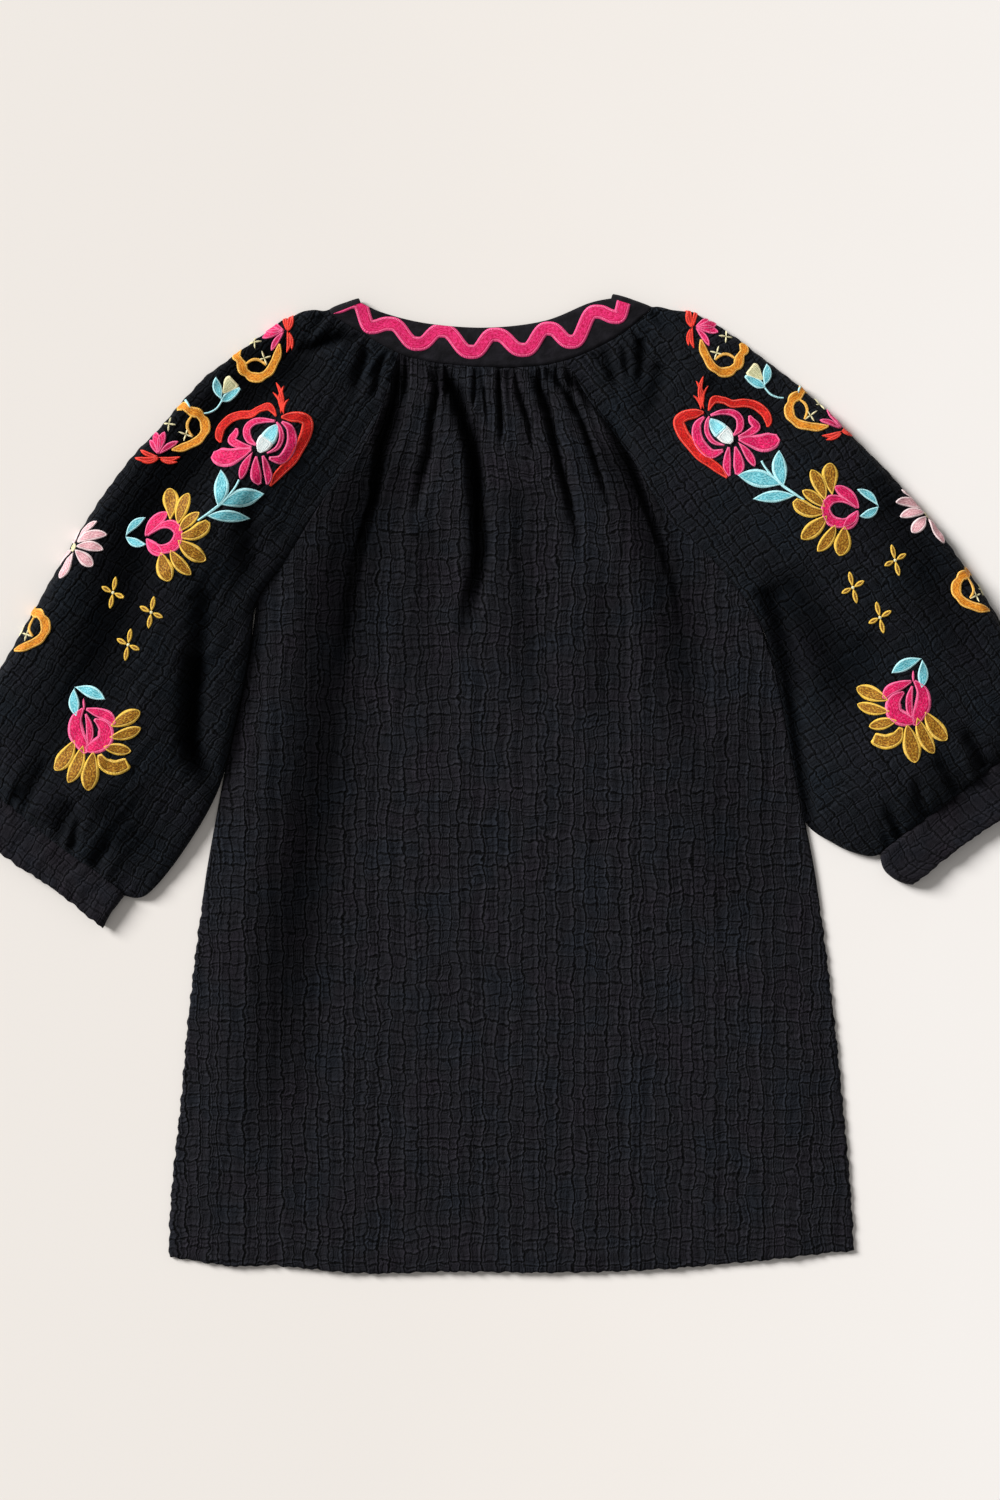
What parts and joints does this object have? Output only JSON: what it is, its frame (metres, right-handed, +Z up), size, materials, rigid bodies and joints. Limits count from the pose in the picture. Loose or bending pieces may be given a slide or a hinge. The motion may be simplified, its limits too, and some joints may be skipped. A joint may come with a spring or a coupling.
{
  "type": "puff sleeve blouse",
  "caption": "Blouse laid flat with its back up: flared body gathered into a neck band, and puffed raglan sleeves gathered into short cuffs.",
  "frame": {"origin": "middle of the bounding box, on the surface that the blouse lies on", "axes": "+X to the right across the body as the picture shows it, +Y from the hem towards the neck, +Z up"},
  "size_m": [0.836, 0.734, 0.0272],
  "materials": {
    "gauze": "crinkled cotton gauze, matt",
    "cuff_cloth": "smooth cotton, matt",
    "band_cloth": "smooth cotton, matt"
  },
  "bodies": {
    "root": {"front_panel": "gauze", "back_panel": "gauze", "left_sleeve": "gauze", "right_sleeve": "gauze", "left_cuff": "cuff_cloth", "right_cuff": "cuff_cloth", "neck_band": "band_cloth"}
  },
  "joints": []
}
